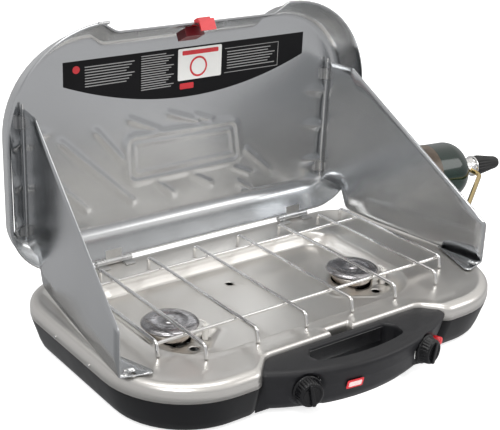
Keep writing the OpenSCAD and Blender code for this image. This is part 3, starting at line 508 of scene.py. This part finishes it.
def slot_outline(grow, steps=8):
    r = BOW_R - GRIP_T - grow

    def on_grip(x):
        return BOW_Y - math.sqrt(r * r - x * x)
    front = [SLOT_LEFT - 2 + k * (SLOT_RIGHT - SLOT_LEFT + 2) / 8 for k in range(1, 8)]
    corners = [(SLOT_LEFT + 1, on_grip(SLOT_LEFT), 12)]
    corners += [(x, on_grip(x), 60) for x in front]
    corners += [(SLOT_RIGHT - 1, on_grip(SLOT_RIGHT), 12)]
    corners += [(SLOT_RIGHT + 1 + grow, SLOT_BACK - 12, 6), (SLOT_RIGHT - 6, SLOT_BACK + grow, 10),
                (SLOT_LEFT + 10, SLOT_BACK + grow, 10), (SLOT_LEFT - 1 - grow, SLOT_BACK - 12, 6)]
    return rounded(corners, steps)


def control_frame(joint):
    """Matrix of a control: origin on the face, Z out of the panel, in millimetres."""
    j = JOINTS[joint]
    out = Vector(j["axis"])
    if joint == "igniter_press":
        out = -out
        low, high = box_mm("igniter_button")
        origin = (low + high) / 2
    else:
        origin = Vector(j["pos_m"]) / MM
    turn = Vector((0, 0, 1)).rotation_difference(out).to_matrix().to_4x4()
    return Matrix.Translation(origin) @ turn


def build_panel():
    seats = [control_frame(j) for j in ("knob_left_turn", "knob_right_turn")]

    def seat(x, y, z):
        """Presses the round seats of the dials into the face."""
        p = Vector((x, y, z))
        for place in seats:
            local = place.inverted() @ p
            far = math.hypot(local.x, local.y)
            if far < SEAT_R + 4 and local.z > -8:
                local.z += (SEAT_H - local.z) * smooth((SEAT_R + 1.5 - far) / 3.0)
                p = place @ local
        return p
    shape = Shape(seat)
    profile = [(0, 21), (3, 17), (6, 14.4), (9, 12.6), (12, 11)]
    profile += [(12 + k * 2, 11 - 5.0 * k / 9.5) for k in range(1, 10)]
    profile += [(32 + k * 2, 5.6 - 3.6 * k / 8.5) for k in range(0, 9)]
    top = [(50.5, 2.2), (52.2, 3.3), (53.6, 5.2), (54.5, 7.6), (55, 10.5)]
    rings = [shape.ring(panel_outline(d), PANEL_LOW + z) for z, d in profile + top]
    shape.loft(rings)
    shape.place = lambda x, y, z: (x, y, z)
    shape.fill(panel_outline(10.5), [slot_outline(4.0)], 6, lambda x, y: PANEL_TOP)
    deep = PANEL_LOW - PANEL_TOP
    inner = [(4.0, 0), (2.4, -0.4), (1.1, -1.5), (0.3, -3.2), (0, -6), (0, -30), (0, deep + 4), (1.5, deep)]
    shape.loft([shape.ring(slot_outline(g), PANEL_TOP + dz) for g, dz in inner])
    shape.fill(panel_outline(21), [slot_outline(1.5)], 12, lambda x, y: PANEL_LOW)
    shape.finish("grip_panel", LOOK["panel"], "base", ["front_panel"], sharp=60)


def build_badge():
    """Small red badge with a pale middle and no lettering."""
    low, high = box_mm("panel_badge")
    middle = (low + high) / 2
    place = Matrix.Translation(middle) @ Matrix.Rotation(math.asin(middle.x / BOW_R), 4, "Z") \
        @ Matrix.Rotation(math.radians(90 + PANEL_TILT), 4, "X")
    for name, half_w, half_h, z, look, replaces in (("badge_plate", 11, 6, 0.0, "badge", ["panel_badge"]),
                                                    ("badge_middle", 8.6, 3.6, 0.35, "pale", [])):
        shape = Shape(lambda x, y, h: place @ Vector((x, y, h)))
        loop = rounded([(-half_w, -half_h, 1.4), (half_w, -half_h, 1.4), (half_w, half_h, 1.4),
                        (-half_w, half_h, 1.4)], 4)
        shape.loft([shape.ring(loop, z - 0.5), shape.ring(loop, z + 0.5)], caps=True)
        shape.finish(name, LOOK[look], "base", replaces, bevel=0.2)


KNOB_R = 18.5
TICK_INNER, TICK_OUTER = 19.0, 20.0


def build_knobs():
    for side in BURNERS:
        place = control_frame(f"knob_{side}_turn")
        base = Vector(place.translation)
        out = (place.to_3x3() @ Vector((0, 0, 1)))
        shape = Shape()

        def flutes(a, r, h):
            if 4.5 < h < 14 and r > 12:
                return r - 0.7 * (0.5 + 0.5 * math.cos(24 * a)) ** 2
            return r
        profile = [(0.01, 1.6), (17.6, 1.6), (18.3, 2.0), (KNOB_R, 2.8), (18.2, 4.0), (17.4, 4.8),
                   (16.6, 5.2), (16.2, 7), (15.7, 11), (15.3, 13.4), (14.6, 15.0), (13.4, 15.9),
                   (12.0, 16.2), (11.2, 15.9), (10.6, 15.2), (9.0, 14.9), (0.01, 14.8)]
        lathe(shape, profile, 144, base, out, flutes)
        shape.finish(f"dial_{side}", LOOK["knob"], f"dial_{side}", [f"knob_{side}"], sharp=40)
        bar = Shape(lambda x, y, z: place @ Vector((x, y, z)))
        loop = rounded([(-2.8, -14, 2.4), (2.8, -14, 2.4), (2.0, 14, 1.8), (-2.0, 14, 1.8)], 6)
        bar.loft([bar.ring(loop, 14), bar.ring(loop, 18.2)], caps=True)
        bar.finish(f"dial_bar_{side}", LOOK["knob"], f"dial_{side}", (), bevel=0.9)
        turn = 0 if side == "left" else math.pi
        arc = [turn + math.radians(-24 + 4 * k) for k in range(15)]
        loop = [(TICK_OUTER * math.cos(t), TICK_OUTER * math.sin(t)) for t in arc]
        loop += [(TICK_INNER * math.cos(t), TICK_INNER * math.sin(t)) for t in reversed(arc)]
        tick = Shape(lambda x, y, z: place @ Vector((x, y, z)))
        tick.loft([tick.ring(loop, 0.7), tick.ring(loop, 1.15)], caps=True)
        tick.finish(f"panel_tick_{side}", LOOK["white_film"], "base", ())


def build_igniter():
    place = control_frame("igniter_press")
    half = 11.0
    r = 5.1
    shape = Shape()
    out = place.to_3x3() @ Vector((0, 0, 1))
    profile = [(0.01, -half), (r, -half), (r, half - 3.2), (r - 0.2, half - 1.4), (r - 0.9, half - 0.4),
               (r - 2.1, half - 0.1), (0.01, half - 0.5)]
    lathe(shape, profile, 48, Vector(place.translation), out)
    shape.finish("igniter_cap", LOOK["red"], "igniter", ["igniter_button"], sharp=50)


# ---------- burners ----------
def build_burners():
    for side in BURNERS:
        low, high = box_mm("burner_cap_" + side)
        cx, cy = BURNER_AT[side]
        r = (high.x - low.x) / 2
        z = low.z

        def slots(a, rr, h):
            return rr - (0.25 * (0.5 + 0.5 * math.cos(60 * a)) if rr > r - 1.5 else 0)
        bore = 3.3
        profile = [(bore, z + 2.4), (r - 4, z + 2.4), (r - 0.8, z), (r, z + 0.3), (r, z + 1.2),
                   (r - 0.8, z + 2.2), (r - 3, z + 3.5), (27, z + 4.0), (22, z + 4.9), (20.6, z + 4.7),
                   (19.4, z + 4.1), (10, z + 4.0), (8.6, z + 4.6), (7.6, z + 5.3), (bore, z + 5.3),
                   (bore, z + 2.4)]
        shape = Shape()
        lathe(shape, profile, 120, (cx, cy, 0), (0, 0, 1), slots)
        shape.finish(f"burner_disc_{side}", LOOK["cap"], "base", [f"burner_cap_{side}"],
                     sharp=50)


# ---------- grate ----------
def build_grate():
    low, high = box_mm("grate_bars")
    bar_r = 2.5
    bar_z = high.z - bar_r
    rear = high.y - bar_r
    front = low.y + bar_r
    leg = low.z
    gap = 71.7
    side_x = high.x - bar_r
    rows = [((k - 2.5) * gap, front) for k in range(6)] + [(-side_x, -78), (side_x, -78)]
    for i, (x, y) in enumerate(rows):
        path = bent([(x, rear, leg), (x, rear, bar_z), (x, y + 1.5, bar_z), (x, y - 2.0, leg)], 6)
        tube(f"grate_bar_{i + 1}", path, bar_r, LOOK["chrome"], "grate", ["grate_bars"] if i == 0 else ())


# ---------- lid ----------
LEAN = math.radians(1)
HINGE_Y, HINGE_Z = (v / MM for v in JOINTS["lid_hinge"]["pos_m"][1:])
LID_HALF = HALF_W - 4
LID_TOP = 315
LID_WALL = 302
LID_DRAFT = 24
LID_CORNER = 136
LID_RECESS_U = -10
FACE_W = 42.4


def lid_place(u, v, w):
    """A point of the open lid: u across, v up from the hinge line, w back from the hinge line."""
    c, s = math.cos(LEAN), math.sin(LEAN)
    return (u, HINGE_Y - v * s + w * c, HINGE_Z + v * c + w * s)


def lid_outline(side, back, front, steps=16):
    """Plan of the lid: side, back and front draw its edges in."""
    half = LID_HALF - side
    low_r = REAR_R - 4 - side - back
    top = LID_TOP - front
    wall = LID_WALL - LID_DRAFT * max(-2, front) / 26
    corner = LID_CORNER - front
    return rounded([(-half, 5 + back, low_r), (half, 5 + back, low_r), (half, top, corner),
                    (LID_RECESS_U + 142 - front * 0.3, top, 12), (LID_RECESS_U + 120, wall, 20),
                    (LID_RECESS_U - 120, wall, 20), (LID_RECESS_U - 142 + front * 0.3, top, 12),
                    (-half, top, corner)], steps)


def ridge(far, half_width):
    """Cross-section of a pressed rib, from 1 on its crest to 0."""
    return math.exp(-(far / half_width) ** 2)


PLATE = rounded([(-90, 85, 12), (94, 86, 12), (84, 147, 12), (-95, 149, 12)], 3)
RIBS = (((-188, 158), (-84, 58)), ((-192, 98), (-154, 60)), ((-138, 165), (-100, 120)),
        ((-88, 174), (-42, 152)), ((-27, 173), (20, 156)), ((16, 164), (42, 154)),
        ((-46, 78), (-20, 57)), ((10, 80), (44, 60)),
        ((80, 78), (112, 62)), ((104, 99), (146, 62)), ((92, 52), (116, 37)))
SIDE_RIBS = tuple(((s * 200, v), (s * 262, v - 9)) for s in (-1, 1) for v in (175, 121, 66))


def lid_relief(u, v):
    """How far the lid's face stands forward at a point, in millimetres."""
    out = 0.0
    for a, b in RIBS:
        out = max(out, 1.5 * ridge(to_segment((u, v), a, b), 4.2))
    for a, b in SIDE_RIBS:
        along = smooth((abs(u) - 196) / 50)
        out = max(out, 4.5 * along * ridge(to_segment((u, v), a, b), 3.5 + 3.5 * along))
    edge = min(to_segment((u, v), a, b) for a, b in zip(PLATE, PLATE[1:] + PLATE[:1]))
    out = max(out, 1.9 * ridge(edge, 4.0))
    if inside((u, v), PLATE):
        out = max(out, 0.5)
        out = max(out, 1.5 * ridge(edge - 11, 2.6))
    return out


def build_lid():
    shape = Shape(lid_place)
    levels = [(-2.4, -2.4, -2.4, 2.6), (-2.6, -2.6, -2.6, 1.0), (-1.6, -1.6, -1.6, -0.4),
              (0.2, 0.2, 0.2, -0.5), (1.0, 1.2, 1.6, 1.2), (1.6, 2.4, 3.2, 6), (2.6, 5, 6.6, 13.5),
              (4.6, 9, 11, 25), (8, 14.5, 16.6, 34.6), (10.4, 18, 19.4, 38.2), (13.4, 21.6, 22, 40.4),
              (17.2, 26, 25, 41.8), (21, 30, 28, FACE_W)]
    shape.loft([shape.ring(lid_outline(i, b, f), w) for i, b, f, w in levels])
    shape.fill(lid_outline(21, 30, 28), [], 3.4, lambda u, v: FACE_W - lid_relief(u, v))
    shape.finish("lid_sheet", LOOK["lid"], "lid", ["lid_shell"], thick=SHEET_T, sharp=50)


LABEL_U = 6
LABEL_HALF = 190
LABEL_TOP = 261
LABEL_SIDE = 230
LABEL_BOW = 37


def label_outline():
    """Plan of the black band: straight top, short sides and a bowed lower edge."""
    lower = [(LABEL_U + LABEL_HALF * t, LABEL_SIDE - LABEL_BOW * (1 - t ** 2)) for t in
             (k / 20 for k in range(-20, 21))]
    return lower + [(LABEL_U + LABEL_HALF, LABEL_TOP), (LABEL_U - LABEL_HALF, LABEL_TOP)]


def film(name, outline, lift, look, replaces, height=0.3):
    """Thin printed film on the lid's face."""
    shape = Shape(lid_place)
    w = FACE_W - lift
    if sum(a[0] * b[1] - b[0] * a[1] for a, b in zip(outline, outline[1:] + outline[:1])) < 0:
        outline = outline[::-1]
    shape.loft([shape.ring(outline, w), shape.ring(outline, w - height)], caps=True)
    shape.finish(name, LOOK[look], "lid", replaces, weld=0.001)


def rect(u0, u1, v0, v1, r=2.0):
    return rounded([(u0, v0, r), (u1, v0, r), (u1, v1, r), (u0, v1, r)], 4)


FRAME_BARS = ((60, 152, 251.4, 252.2), (60, 152, 217.8, 218.6), (151.2, 152, 218, 252))
BAR_COLUMNS = ((-154, -82, 252, 3.6, 8), (-72, -22, 256, 3.2, 15), (64, 146, 247, 3.8, 7))
PRINT_LIFT = 0.45
PRINT_T = 0.12


def build_labels():
    """Black band with a white panel. Words become plain grey bars, and signs become plain shapes."""
    film("label_film", label_outline(), 0.1, "film", ["lid_label"])
    film("label_white_field", rect(-15.5, 54.5, 216, 259, 2), PRINT_LIFT, "white_film", ["label_panel"])
    for name, outline, lift, look, slot in (
            ("label_red_head", rect(-9, 49, 250, 256, 1.5), 0.8, "badge", "badge_red"),
            ("label_disc", circle(17, 233, 14, 40), 0.8, "badge", "badge_red"),
            ("label_disc_middle", circle(17, 233, 11.2, 40), 0.95, "white_film", "label_white"),
            ("label_tab", rect(-12, 10, 204, 212, 1.5), PRINT_LIFT, "badge", "badge_red"),
            ("label_dot", circle(-166, 250, 5, 30), PRINT_LIFT, "badge", "badge_red")):
        film(name, outline, lift, look, (), PRINT_T)
    for k, bar in enumerate(FRAME_BARS):
        film(f"label_frame_{k}", rect(*bar, 0.3), PRINT_LIFT, "label_grey", (), PRINT_T)
    for column, (u0, u1, top, pitch, rows) in enumerate(BAR_COLUMNS):
        for row in range(rows):
            shorter = 4 * ((row * 5 + column * 3) % 4)
            v = top - row * pitch
            film(f"label_bar_{column}_{row}", rect(u0, u1 - shorter, v - 0.7, v + 0.5, 0.5), PRINT_LIFT,
                 "label_grey", (), PRINT_T)


# ---------- wind screens ----------
SCREEN_LENGTH = 302
SCREEN_H = 217
SCREEN_EDGE = 4.4
SCREEN_TURN = 7.5


def screen_outline():
    """Plan of a wind screen in its own plane: a out from the fold, b up along it."""
    tilt = math.tan(LEAN)
    corners = [(SCREEN_EDGE + 37 * tilt, 37, 2), (44, 36, 5), (58, 3, 12), (118, 0, 30),
               (SCREEN_LENGTH, 0, 3), (SCREEN_LENGTH, 56, 9), (52, SCREEN_H, 14),
               (SCREEN_EDGE + SCREEN_H * tilt, SCREEN_H, 4)]
    c, s = math.cos(LEAN), math.sin(LEAN)
    return rounded([(a * c - b * s, a * s + b * c, r) for a, b, r in corners], 8)


def build_screen(s, side):
    joint = JOINTS[f"screen_{side}_fold"]
    body = f"screen_{side}"
    look = LOOK["screen"]
    place = Matrix.Translation(Vector(joint["pos_m"]) / MM) @ Matrix.Rotation(LEAN, 4, "X") \
        @ Matrix.Rotation(math.radians(s * SCREEN_TURN), 4, "Z")
    outline = screen_outline()
    shape = Shape(lambda a, b, t: place @ Vector((t, -a, b)))
    shape.fill(outline, [], 16, lambda a, b: 0.5)
    shape.finish(f"screen_sheet_{side}", look, body, [f"windscreen_{side}"], thick=float(s))
    hem = [place @ Vector((0, -a, b)) for a, b in outline[9 * 4:9 * 7 + 4]]
    tube(f"screen_hem_{side}", hem, 0.8, look, body, (), steps=3)

    level = place @ Matrix.Rotation(-LEAN, 4, "X")
    length = SCREEN_LENGTH
    foot = Shape(lambda x, y, z: level @ Vector((x, y, z)))
    loop = rounded([(0, -length + 76, 4), (0, -length - 1, 2), (-s * 38, -length - 7, 5),
                    (-s * 38, -length + 2, 7), (-s * 5, -length + 70, 10)], 6)
    gap = rounded([(-s * 15, -length + 6, 1.4), (-s * 15, -length - 1, 1.4), (-s * 19, -length - 1, 1.4),
                   (-s * 19, -length + 6, 1.4)], 5)
    foot.fill(loop, [gap], 9, lambda x, y: 0.0)
    foot.finish(f"screen_foot_{side}", look, body, (), thick=-1.0)
    for k, (dx, dy) in enumerate(((8, 3), (11, 12))):
        stud = Shape()
        centre = level @ Vector((-s * dx, -length + dy, 0.2))
        lathe(stud, [(2.2, -0.6), (2.2, 0.7), (1.7, 1.3), (0.01, 1.5)], 20, centre, (0, 0, 1))
        stud.finish(f"screen_stud_{side}_{k}", LOOK["chrome"], body, ())
    for b0, b1 in ((40, 47.5), (64.5, 190.5), (207.5, 216)):
        roll = [place @ Vector((0, 0, b0)), place @ Vector((0, 0, b1))]
        tube(f"screen_roll_{side}_{int(b0)}", roll, 2.7, look, body, ())


# ---------- gas ----------
GAS_AXIS = Vector(JOINTS["bottle_screw"]["axis"])
GAS_AT = Vector(JOINTS["bottle_screw"]["pos_m"]) / MM


def along_gas(shape, profile, steps, wobble=None):
    """Turns a profile of (radius, place along the bottle) about the bottle's axis."""
    return lathe(shape, profile, steps, GAS_AT - GAS_AXIS * GAS_AT.x, GAS_AXIS, wobble)


BOTTLE_R = 49.2
BOTTLE_ROUND = 20
BOTTLE_START = 390
BOTTLE_END = 544
DOME_H = 35
NECK = 592
NECK_R = 11
CAP_START = NECK + 17.2
CAP_RIBS = 18
TUBE_R = 4
TUBE_SLOPE = math.radians(35)


def build_bottle():
    r = BOTTLE_R
    x0 = BOTTLE_START
    shoulder = r - BOTTLE_ROUND
    arc = [(shoulder + BOTTLE_ROUND * math.sin(a), x0 - BOTTLE_ROUND * math.cos(a)) for a in
           (math.pi / 2 * k / 12 for k in range(13))]
    dome = [(14 + (r - 14) * math.cos(a), BOTTLE_END + DOME_H * math.sin(a)) for a in
            (math.pi / 2 * k / 24 for k in range(24))]
    top = BOTTLE_END + DOME_H
    neck = [(14, top + 0.2), (12.6, top + 1), (NECK_R, top + 2), (NECK_R, NECK + 1.4),
            (NECK_R - 0.7, NECK + 2), (0.01, NECK + 2)]
    shape = Shape()
    along_gas(shape, [(0.01, x0 - 14), (r - 24, x0 - 14), (r - 21, x0 - 19)] + arc + dome + neck, 96)
    shape.finish("bottle_shell", LOOK["bottle"], "bottle", ["gas_bottle"], sharp=40)


def tube_plane():
    """Start of the gas tube at the inlet, the way from there to the bottle's axis, and how far it is."""
    low, high = box_mm("tube_plug")
    start = Vector((0, (low.y + high.y) / 2, (low.z + high.z) / 2))
    rise = Vector((0, GAS_AT.y, GAS_AT.z)) - start
    return start, rise.normalized(), rise.length, high.x


def build_regulator():
    x = NECK - 10
    shape = Shape()
    along_gas(shape, [(11.1, x + 0.4), (14.8, x), (15.5, x + 0.8), (15.5, x + 11.2), (14.9, x + 12),
                      (14.5, x + 13), (14.5, x + 22), (15.2, x + 23.6), (17.4, x + 24), (18, x + 24.6),
                      (18, x + 26.6), (17.4, x + 27), (0.01, x + 27)], 72)
    start, away, reach, _ = tube_plane()
    lathe(shape, [(TUBE_R + 0.1, 0), (6.6, 0), (7, 0.6), (7, 15)], 48,
          start + away * (reach - 18) + Vector((GAS_AT.x, 0, 0)), away)
    shape.finish("regulator_shell", LOOK["chrome"], "regulator", ["regulator_body"],
                 sharp=35)


def build_regulator_cap():
    x = CAP_START

    def ribs(a, r, h):
        if r < 8.5:
            return r
        return r - 1.2 * (0.5 + 0.5 * math.cos(CAP_RIBS * a)) ** 3 * smooth((x + 40 - h) / 8)
    shape = Shape()
    along_gas(shape, [(0.01, x), (16.4, x), (17, x + 0.8), (17, x + 6), (17, x + 13), (16.6, x + 15.4),
                      (15.3, x + 23), (14, x + 30), (12.7, x + 37), (11.6, x + 43), (11, x + 47.4),
                      (10.2, x + 50), (8.6, x + 53), (6.4, x + 54), (0.01, x + 54)], 144, ribs)
    shape.finish("regulator_grip", LOOK["cap_black"], "regulator", ["regulator_cap"], sharp=40)
    shape = Shape()
    along_gas(shape, [(0.01, x + 53.9), (5.2, x + 53.9), (5.0, x + 54.3), (4.4, x + 54.4), (0.01, x + 54.1)],
              40)
    shape.finish("regulator_end", LOOK["chrome"], "regulator", (), sharp=40)


def build_gas_tube():
    start, away, reach, plug_end = tube_plane()
    corner = reach - 36
    corner_x = GAS_AT.x - corner / math.tan(TUBE_SLOPE)
    path = bent([start + away * d + Vector((x, 0, 0)) for x, d in
                 ((plug_end - 4, 0), (corner_x, 0), (GAS_AT.x, corner), (GAS_AT.x, reach - 12))], 45, 14)
    tube("gas_tube", path, TUBE_R, LOOK["brass"], "regulator", ["regulator_tube"], steps=8)


# ---------- stage ----------
FLOOR_HALF = 6.0
CAMERA_AT = (-0.787, -0.981, 0.662)
CAMERA_TARGET = (0, 0.0513, 0.1425)
CAMERA_ROLL = math.radians(2.1)


def build_stage():
    mesh = bpy.data.meshes.new("floor")
    corners = [(x * FLOOR_HALF, y * FLOOR_HALF, 0) for x, y in ((-1, -1), (1, -1), (1, 1), (-1, 1))]
    mesh.from_pydata(corners, [], [(0, 1, 2, 3)])
    floor = bpy.data.objects.new("floor", mesh)
    bpy.context.scene.collection.objects.link(floor)
    pale = material("floor_pale", (0.9, 0.9, 0.9), 0.9, specular=0.1)
    shader = pale.node_tree.nodes["Principled BSDF"]
    shader.inputs["Emission Color"].default_value = (1, 1, 1, 1)
    shader.inputs["Emission Strength"].default_value = 0.72
    mesh.materials.append(pale)
    floor.visible_glossy = False


def look_matrix(eye, target, roll):
    """Camera matrix that looks from eye to target, rolled about its axis."""
    back = (Vector(eye) - Vector(target)).normalized()
    right = Vector((0, 0, 1)).cross(back).normalized()
    up = back.cross(right)
    c, s = math.cos(roll), math.sin(roll)
    x = right * c + up * s
    y = up * c - right * s
    turn = Matrix((x, y, back)).transposed().to_4x4()
    return Matrix.Translation(eye) @ turn


def build_camera():
    data = bpy.data.cameras.new("view")
    data.sensor_width = 36
    data.lens = 78.35
    data.clip_end = 50
    camera = bpy.data.objects.new("view", data)
    camera.matrix_world = look_matrix(CAMERA_AT, CAMERA_TARGET, CAMERA_ROLL)
    bpy.context.scene.collection.objects.link(camera)
    bpy.context.scene.camera = camera


def area_light(name, at, target, size, power):
    data = bpy.data.lights.new(name, "AREA")
    data.shape = "RECTANGLE"
    data.size, data.size_y = size
    data.energy = power
    light = bpy.data.objects.new(name, data)
    light.matrix_world = look_matrix(at, target, 0)
    bpy.context.scene.collection.objects.link(light)


def build_lights():
    """A soft room, pale above and at the horizon and darker below, with three soft lamps."""
    world = bpy.data.worlds.new("studio")
    bpy.context.scene.world = world
    world.use_nodes = True
    nodes = world.node_tree.nodes
    links = world.node_tree.links
    sky = nodes["Background"]
    where = nodes.new("ShaderNodeTexCoord")
    tilt = nodes.new("ShaderNodeVectorMath")
    tilt.operation = "DOT_PRODUCT"
    tilt.inputs[1].default_value = (0.25, -0.1, 0.8)
    links.new(where.outputs["Generated"], tilt.inputs[0])
    span = nodes.new("ShaderNodeMapRange")
    span.inputs["From Min"].default_value = -0.7
    span.inputs["From Max"].default_value = 0.7
    links.new(tilt.outputs["Value"], span.inputs["Value"])
    ramp = nodes.new("ShaderNodeValToRGB")
    ramp.color_ramp.elements[0].position = 0.05
    ramp.color_ramp.elements[0].color = (0.34, 0.345, 0.35, 1)
    ramp.color_ramp.elements[1].position = 0.92
    ramp.color_ramp.elements[1].color = (1, 0.99, 0.97, 1)
    for place, tone in ((0.18, 0.62), (0.42, 0.6), (0.5, 0.8), (0.63, 0.45), (0.78, 0.75)):
        ramp.color_ramp.elements.new(place).color = (tone, tone, tone * 1.01, 1)
    links.new(span.outputs["Result"], ramp.inputs["Fac"])
    links.new(ramp.outputs["Color"], sky.inputs["Color"])
    sky.inputs["Strength"].default_value = 0.85
    middle = (0, 0, 0.1)
    area_light("key", (-1.4, -1.2, 2.2), middle, (0.9, 0.9), 20)
    area_light("fill", (1.9, -1.5, 1.5), middle, (1.2, 1.2), 9)
    area_light("top", (0.1, 0.3, 2.6), middle, (1.8, 0.8), 14)
    bpy.context.scene.view_settings.view_transform = "Standard"


build_camera()
build_lights()
build_stage()
dress_cad()
build_pan()
build_tray()
build_panel()
build_badge()
build_knobs()
build_igniter()
build_burners()
build_grate()
build_lid()
build_labels()
build_screen(-1, "left")
build_screen(1, "right")
build_bottle()
build_regulator()
build_regulator_cap()
build_gas_tube()
